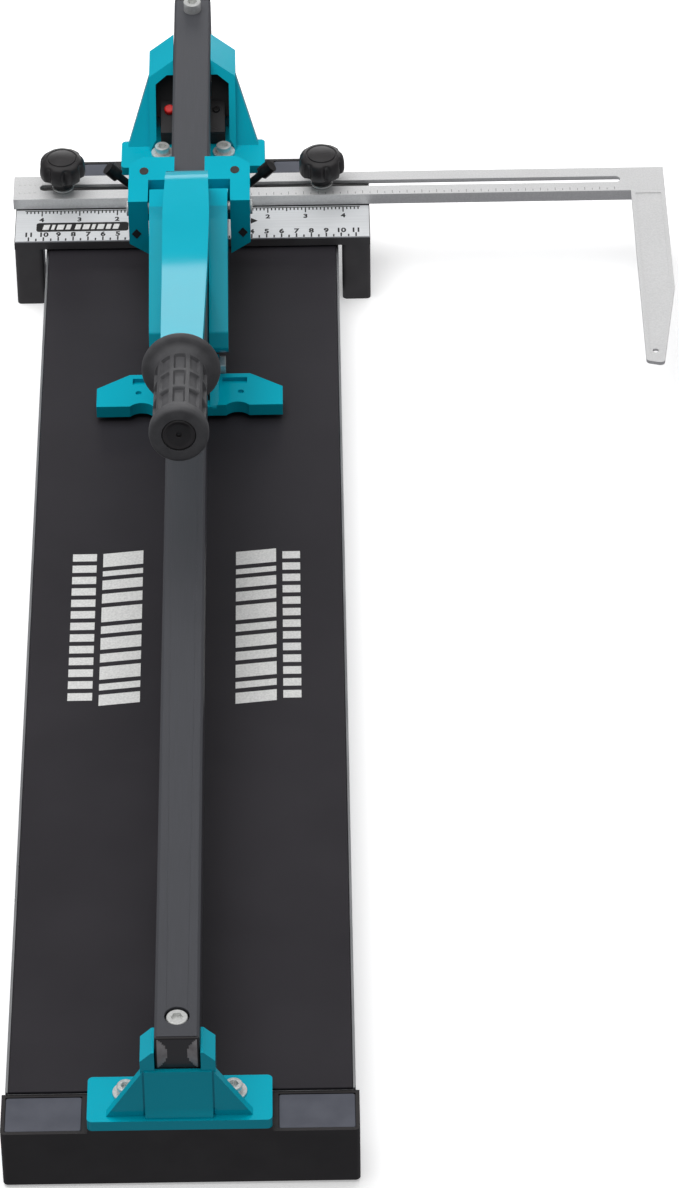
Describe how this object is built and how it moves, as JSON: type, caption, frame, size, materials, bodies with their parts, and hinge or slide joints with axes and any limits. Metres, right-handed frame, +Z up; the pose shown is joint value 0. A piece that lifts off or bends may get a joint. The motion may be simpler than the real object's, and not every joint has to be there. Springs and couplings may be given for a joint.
{
  "type": "manual tile cutter",
  "caption": "Long manual tile cutter: black deck with a guide rail above it, a sliding carriage with lever, scoring wheel and breaker foot, and a scaled fence with an adjustable angle square.",
  "frame": {"origin": "centre of the base underside, on the surface that the cutter stands on", "axes": "+Y along the guide rail towards the fence end, +X right seen from the operator, +Z up"},
  "size_m": [0.44, 1.0256, 0.2292],
  "materials": {
    "deck_aluminium": "extruded, clear",
    "deck_sheet": "fine matt black sheet",
    "bright_steel": "ground",
    "black_plastic": "moulded, fine grain",
    "soft_rubber": "matt",
    "rail_anodised": "graphite anodised",
    "zinc_steel": "bright zinc",
    "teal_paint": "gloss powder coat",
    "black_paint": "satin black",
    "scale_aluminium": "matt with printed marks",
    "square_aluminium": "cast and brushed",
    "knob_plastic": "moulded",
    "brass_barrel": "turned",
    "red_plastic": "moulded",
    "black_steel": "black oxide",
    "grip_rubber": "moulded, ribbed"
  },
  "bodies": {
    "base": {"deck_profile": "deck_aluminium", "deck_pad_left": "deck_sheet", "deck_pad_right": "deck_sheet", "breaking_bar": "bright_steel", "front_cap": "black_plastic", "rear_cap": "black_plastic", "rubber_feet": "soft_rubber", "guide_rail": "rail_anodised", "rail_plug_front": "black_plastic", "rail_plug_rear": "black_plastic", "rail_bolt_front": "zinc_steel", "rail_bolt_rear": "zinc_steel", "front_bracket": "teal_paint", "front_bracket_bolts": "zinc_steel", "front_bracket_washers": "zinc_steel", "rear_bracket": "teal_paint", "rear_bracket_bolts": "zinc_steel", "rear_bracket_washers": "zinc_steel", "fence_body": "black_paint", "fence_screws": "zinc_steel", "scale_plate": "scale_aluminium", "clamp_washer_left": "zinc_steel", "clamp_washer_right": "zinc_steel", "laser_case": "black_plastic", "laser_cover": "black_plastic", "laser_cover_screw": "zinc_steel", "laser_module": "brass_barrel", "laser_cells": "bright_steel"},
    "laser_button": {"laser_button": "red_plastic"},
    "left_knob": {"clamp_knob_left": "knob_plastic", "clamp_stud_left": "zinc_steel"},
    "right_knob": {"clamp_knob_right": "knob_plastic", "clamp_stud_right": "zinc_steel"},
    "square": {"square_arm": "square_aluminium", "square_leg": "square_aluminium"},
    "carriage": {"carriage_block": "teal_paint", "lower_roller_screw_left": "black_steel", "lower_roller_screw_right": "black_steel", "upper_roller_screw_left": "black_steel", "upper_roller_screw_right": "black_steel", "lever_pivot_bolt_left": "zinc_steel", "lever_pivot_bolt_right": "zinc_steel"},
    "lever": {"lever_arm": "teal_paint", "lever_grip": "grip_rubber", "grip_end_disc": "knob_plastic", "wheel_yoke": "teal_paint", "yoke_bolt": "zinc_steel", "wheel_axle": "bright_steel", "foot_hinge_bolt": "zinc_steel"},
    "wheel": {"scoring_wheel": "bright_steel"},
    "foot": {"breaker_foot": "teal_paint", "foot_pads": "soft_rubber"},
    "upper_left_roller": {"upper_roller_left": "bright_steel"},
    "upper_right_roller": {"upper_roller_right": "bright_steel"},
    "lower_left_roller": {"lower_roller_left": "bright_steel"},
    "lower_right_roller": {"lower_roller_right": "bright_steel"}
  },
  "joints": [
    {"name": "carriage_slide", "type": "slide", "parent": "base", "child": "carriage", "axis": [0, -1, 0], "range_m": [-0.04, 0.58]},
    {"name": "lever_pivot", "type": "hinge", "parent": "carriage", "child": "lever", "pos_m": [0, 0.3225, 0.104], "axis": [-1, 0, 0], "range_deg": [0, 5]},
    {"name": "foot_pivot", "type": "hinge", "parent": "lever", "child": "foot", "pos_m": [0, 0.212, 0.058], "axis": [-1, 0, 0], "range_deg": [-2, 10]},
    {"name": "wheel_spin", "type": "hinge", "parent": "lever", "child": "wheel", "pos_m": [0, 0.235, 0.0585], "axis": [1, 0, 0], "continuous": true},
    {"name": "square_slide", "type": "slide", "parent": "base", "child": "square", "axis": [1, 0, 0], "range_m": [-0.19, 0.01]},
    {"name": "left_knob_turn", "type": "hinge", "parent": "base", "child": "left_knob", "pos_m": [-0.0875, 0.4077, 0.06], "axis": [0, 0, 1], "continuous": true},
    {"name": "right_knob_turn", "type": "hinge", "parent": "base", "child": "right_knob", "pos_m": [0.0875, 0.4077, 0.06], "axis": [0, 0, 1], "continuous": true},
    {"name": "laser_button_press", "type": "slide", "parent": "base", "child": "laser_button", "axis": [0, 0.3454, -0.9385], "range_m": [0, 0.002], "stiffness_N_per_m": 200},
    {"name": "upper_left_roller_spin", "type": "hinge", "parent": "carriage", "child": "upper_left_roller", "pos_m": [-0.01459, 0.342, 0.11009], "axis": [-0.7071, 0, -0.7071], "continuous": true},
    {"name": "upper_right_roller_spin", "type": "hinge", "parent": "carriage", "child": "upper_right_roller", "pos_m": [0.01459, 0.342, 0.11009], "axis": [0.7071, 0, -0.7071], "continuous": true},
    {"name": "lower_left_roller_spin", "type": "hinge", "parent": "carriage", "child": "lower_left_roller", "pos_m": [-0.0153, 0.3545, 0.0752], "axis": [-0.7071, 0, 0.7071], "continuous": true},
    {"name": "lower_right_roller_spin", "type": "hinge", "parent": "carriage", "child": "lower_right_roller", "pos_m": [0.0153, 0.3545, 0.0752], "axis": [0.7071, 0, 0.7071], "continuous": true}
  ]
}
